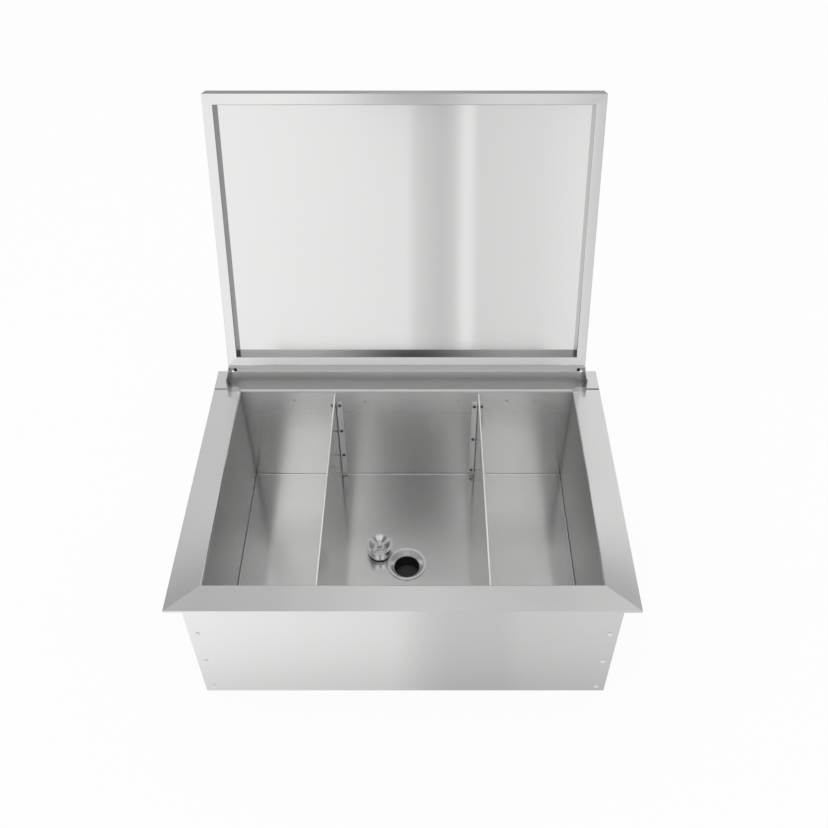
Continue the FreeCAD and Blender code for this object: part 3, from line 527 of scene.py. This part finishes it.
# Its reach to the sides and back, its front edge, its matt share with noise and shades, and half the
# object's footprint on it, where the glow stops as a painted shadow
FLOOR_SIDE = 8.0
FLOOR_FRONT = -2.0
FLOOR_GREY = 0.07
FLOOR_NOISE = 3.0
FLOOR_DARK = (0.93, 0.93, 0.93)
FLOOR_PALE = (0.95, 0.95, 0.95)
FOOTPRINT = (0.33, 0.238)
# How bright the metal shows it ahead of the object by x and y, and how far that holds by y
FLOOR_ACROSS = ((-0.5, 1.0), (-0.345, 0.96), (-0.02, 0.83), (0.04, 0.66), (0.08, 0.61), (0.165, 0.60),
                (0.2, 0.65), (0.5, 0.72))
FLOOR_AHEAD = ((-0.38, 1.08), (-0.315, 1.0), (-0.25, 0.86))
FLOOR_REACH = ((-1.4, 0.0), (-0.6, 1.0), (-0.2, 1.0), (0.0, 0.0))
# How bright the metal shows the rest of it, by distance from the footprint, by y and by x
FLOOR_BEYOND = ((0.0, 0.80), (0.12, 0.70), (0.35, 0.52), (0.8, 0.42), (1.6, 0.40))
FLOOR_BESIDE = ((-0.6, 0.85), (-0.2, 0.92), (0.05, 1.05), (0.3, 0.90), (0.7, 0.85))
FLOOR_ASTERN = ((-0.7, 0.80), (-0.3, 0.95), (-0.05, 1.06), (0.2, 0.94), (0.6, 0.82))


def flat_sheet(name, low, high, material):
    """A flat rectangle between two corners, in its own plane."""
    (left, near), (right, far) = low, high
    mesh = bpy.data.meshes.new(name)
    corners = [(left, near, 0.0), (right, near, 0.0), (right, far, 0.0), (left, far, 0.0)]
    mesh.from_pydata(corners, [], [(0, 1, 2, 3)])
    mesh.materials.append(material)
    sheet = bpy.data.objects.new(name, mesh)
    scene.collection.objects.link(sheet)
    return sheet


def floor_material():
    """Nearly white to the camera, a little matt to keep the shadow, toned by place in the metal, and without
    glow under the object, a painted shadow.
    """
    material, g = new_material("studio_floor")
    place = g.place()
    x, y, _ = g.split(place)
    path = g.add("ShaderNodeLightPath")
    glossy = path.outputs["Is Glossy Ray"]
    seen = g.math("MAXIMUM", path.outputs["Is Camera Ray"], glossy)
    seen = g.math("MAXIMUM", seen, path.outputs["Is Transmission Ray"])
    matt = g.add("ShaderNodeBsdfDiffuse")
    shades = g.ramp(g.noise(place, FLOOR_NOISE), (NOISE_LOW, FLOOR_DARK), (NOISE_HIGH, FLOOR_PALE))
    g.link(shades, matt.inputs["Color"])
    # Painted shadow: no glow under the object's footprint
    away_x = g.math("SUBTRACT", g.math("ABSOLUTE", x), FOOTPRINT[0])
    away_y = g.math("SUBTRACT", g.math("ABSOLUTE", y), FOOTPRINT[1])
    distance = g.math("MAXIMUM", away_x, away_y)
    clear = g.math("GREATER_THAN", distance, 0.0)
    ahead = g.math("MULTIPLY", g.curve(x, *FLOOR_ACROSS), g.curve(y, *FLOOR_AHEAD))
    around = g.math("MULTIPLY", g.curve(y, *FLOOR_BESIDE), g.curve(x, *FLOOR_ASTERN))
    around = g.math("MULTIPLY", around, g.curve(distance, *FLOOR_BEYOND))
    tone = g.mix(glossy, 1.0, g.mix(g.curve(y, *FLOOR_REACH), around, ahead))
    glow = g.add("ShaderNodeEmission")
    g.link(g.math("MULTIPLY", clear, tone), glow.inputs["Strength"])
    lit = g.mix_shader(FLOOR_GREY, glow.outputs["Emission"], matt.outputs["BSDF"])
    g.finish(g.mix_shader(seen, matt.outputs["BSDF"], lit))
    return material


def build_floor():
    low = (-FLOOR_SIDE, FLOOR_FRONT)
    high = (FLOOR_SIDE, FLOOR_SIDE)
    floor = flat_sheet("floor", low, high, floor_material())


# What the metal reflects, by direction: x to the right, z up

# Ahead of the object: the horizon, a screen above it by x and z, and a strip near the top by z
HORIZON = ((-0.30, 0.95), (-0.20, 1.0), (-0.017, 0.91), (-0.008, 0.76), (0.018, 0.65), (0.032, 0.71),
           (0.043, 0.97), (0.051, 0.95), (0.055, 0.78), (0.12, 0.83), (0.17, 0.92), (0.20, 0.52),
           (0.30, 0.40))
SCREEN = ((-0.25, 0.72), (-0.08, 0.66), (-0.03, 0.40), (0.02, 0.32), (0.08, 0.38), (0.25, 0.30))
SCREEN_RISE = ((0.34, 1.0), (0.48, 0.35))
TOP_STRIP = ((0.88, 0.45), (0.92, 1.0), (0.96, 1.0), (0.985, 0.0))
# Behind it, by z and by x
BACKDROP = ((0.0, 0.5), (0.30, 0.7), (0.60, 1.0), (0.785, 1.0), (0.796, 0.84), (0.804, 0.50), (0.812, 0.30),
            (0.822, 0.36), (0.85, 0.85), (0.90, 1.0))
BACKDROP_ACROSS = ((-0.25, 0.64), (-0.13, 0.69), (-0.03, 0.96), (0.0, 0.94), (0.06, 0.76), (0.12, 0.71),
                   (0.20, 0.84))
# Straight above it, by x
OVERHEAD = ((-0.25, 0.20), (-0.175, 0.26), (-0.15, 0.70), (-0.12, 0.76), (0.0, 0.40), (0.02, 0.40),
            (0.10, 0.64), (0.13, 0.60), (0.165, 0.20), (0.25, 0.16))
# Where one turns into the next: by z from horizon to screen and to overhead, by y from front to back
TO_SCREEN = (0.165, 0.26)
AHEAD_TO_TOP = (0.84, 0.90)
BEHIND_TO_TOP = (0.95, 0.985)
FRONT_TO_BACK = (-0.1, 0.1)
# What matt surfaces get from every direction
PLAIN_LIGHT = 0.75
WHITE = (1.0, 1.0, 1.0, 1.0)


def build_world():
    """White to the camera, even to matt surfaces, and to metal a studio of pale and dark walls."""
    world = bpy.data.worlds.new("studio")
    scene.world = world
    world.use_nodes = True
    g = Graph(world.node_tree)
    x, y, z = g.split(g.add("ShaderNodeTexCoord").outputs["Generated"])
    overhead = g.curve(x, *OVERHEAD)
    screen = g.math("MULTIPLY", g.curve(x, *SCREEN), g.curve(z, *SCREEN_RISE))
    ahead = g.mix(g.spread(z, 0.0, 1.0, *TO_SCREEN), g.curve(x, *HORIZON), screen)
    top = g.math("MAXIMUM", overhead, g.curve(z, *TOP_STRIP))
    ahead = g.mix(g.spread(z, 0.0, 1.0, *AHEAD_TO_TOP), ahead, top)
    behind = g.math("MULTIPLY", g.curve(z, *BACKDROP), g.curve(x, *BACKDROP_ACROSS))
    behind = g.mix(g.spread(z, 0.0, 1.0, *BEHIND_TO_TOP), behind, overhead)
    studio = g.mix(g.spread(y, 0.0, 1.0, *FRONT_TO_BACK), ahead, behind)
    path = g.add("ShaderNodeLightPath")
    strength = g.mix(path.outputs["Is Glossy Ray"], PLAIN_LIGHT, studio)
    direct = g.math("MAXIMUM", path.outputs["Is Camera Ray"], path.outputs["Is Transmission Ray"])
    back = g.add("ShaderNodeBackground")
    back.inputs["Color"].default_value = WHITE
    g.link(g.mix(direct, strength, 1.0), back.inputs["Strength"])
    g.finish(back.outputs["Background"], "ShaderNodeOutputWorld")


# Soft boxes each side of the camera and the gap between them, on a card, in metres across and up it

CARD_PLACE = (0.0, -0.93, 1.27)
CARD_LEAN = math.radians(38.5)
CARD_HALF = (1.0, 0.36)
# The boxes across the card, where their gap lies across it, and how the gap's brightness changes up it
BOXES = ((-1.0, 0.80), (-0.45, 1.20), (-0.36, 1.14), (-0.25, 0.86), (-0.12, 0.18), (-0.06, 0.05),
         (0.0, 0.02), (0.09, 0.02), (0.18, 0.58), (0.26, 0.84), (0.34, 0.98), (0.42, 0.92), (0.55, 0.68),
         (1.0, 0.55))
GAP = ((-0.30, 0.0), (-0.15, 0.6), (-0.05, 1.0), (0.10, 1.0), (0.18, 0.6), (0.30, 0.0))
GAP_RISE = ((-0.25, 2.2), (-0.18, 1.6), (-0.12, 1.1), (-0.04, 0.85), (0.10, 0.80), (0.17, 0.75), (0.21, 1.0),
            (0.25, 1.4), (0.30, 1.7), (0.36, 2.0))
# How it fades at its foot and at its ends
CARD_FADE_DOWN = ((-0.36, 0.0), (-0.22, 1.0))
CARD_FADE_OUT = ((0.7, 1.0), (1.0, 0.0))


def card_material():
    material, g = new_material("softbox_card")
    x, y, _ = g.split(g.place())
    level = g.math("MULTIPLY", g.curve(x, *BOXES), g.mix(g.curve(x, *GAP), 1.0, g.curve(y, *GAP_RISE)))
    glow = g.add("ShaderNodeEmission")
    g.link(level, glow.inputs["Strength"])
    fade = g.math("MULTIPLY", g.curve(y, *CARD_FADE_DOWN), g.curve(g.math("ABSOLUTE", x), *CARD_FADE_OUT))
    clear = g.add("ShaderNodeBsdfTransparent")
    g.finish(g.mix_shader(fade, clear.outputs["BSDF"], glow.outputs["Emission"]))
    return material


def build_card():
    """A card in front of the camera that only metal shows."""
    wide, tall = CARD_HALF
    card = flat_sheet("softbox_card", (-wide, -tall), (wide, tall), card_material())
    card.location = CARD_PLACE
    card.rotation_euler = (CARD_LEAN, 0.0, 0.0)
    card.visible_camera = False
    card.visible_diffuse = False
    card.visible_transmission = False
    card.visible_shadow = False


# Lamp and camera

KEY_PLACE = (-0.6, -0.6, 3.2)
KEY_TARGET = (0.0, 0.0, 0.2)
KEY_SIDE = 2.4
KEY_POWER = 20.0


def build_key_light():
    """One broad lamp overhead, which the metal doesn't show."""
    light = bpy.data.lights.new("key_top", "AREA")
    light.shape = "RECTANGLE"
    light.size = KEY_SIDE
    light.size_y = KEY_SIDE
    light.energy = KEY_POWER
    lamp = bpy.data.objects.new("key_top", light)
    lamp.location = KEY_PLACE
    aim = Vector(KEY_TARGET) - Vector(KEY_PLACE)
    lamp.rotation_euler = aim.to_track_quat("-Z", "Y").to_euler()
    lamp.visible_glossy = False
    scene.collection.objects.link(lamp)


# Place and pitch, then the frame, focal length and centre in its pixels, and the sensor in millimetres
CAMERA_PLACE = (0.0311, -1.0063, 1.4285)
CAMERA_PITCH = math.radians(44.17)
FRAME_SIDE = 828.0
FOCAL = 925.1
CENTRE = (423.9, 397.4)
SENSOR = 36.0
CLIP = (0.01, 100.0)


def build_camera():
    """The camera solved from the corners of rim, lid and shell."""
    data = bpy.data.cameras.new("photo_camera")
    data.sensor_width = SENSOR
    data.sensor_fit = "HORIZONTAL"
    data.lens = SENSOR * FOCAL / FRAME_SIDE
    data.shift_x = (FRAME_SIDE / 2 - CENTRE[0]) / FRAME_SIDE
    data.shift_y = (CENTRE[1] - FRAME_SIDE / 2) / FRAME_SIDE
    data.clip_start, data.clip_end = CLIP
    camera = bpy.data.objects.new("photo_camera", data)
    camera.location = CAMERA_PLACE
    camera.rotation_euler = (math.pi / 2 - CAMERA_PITCH, 0.0, 0.0)
    scene.collection.objects.link(camera)
    scene.camera = camera


dress_nodes()
build_welds()
build_floor()
build_world()
build_card()
build_key_light()
build_camera()
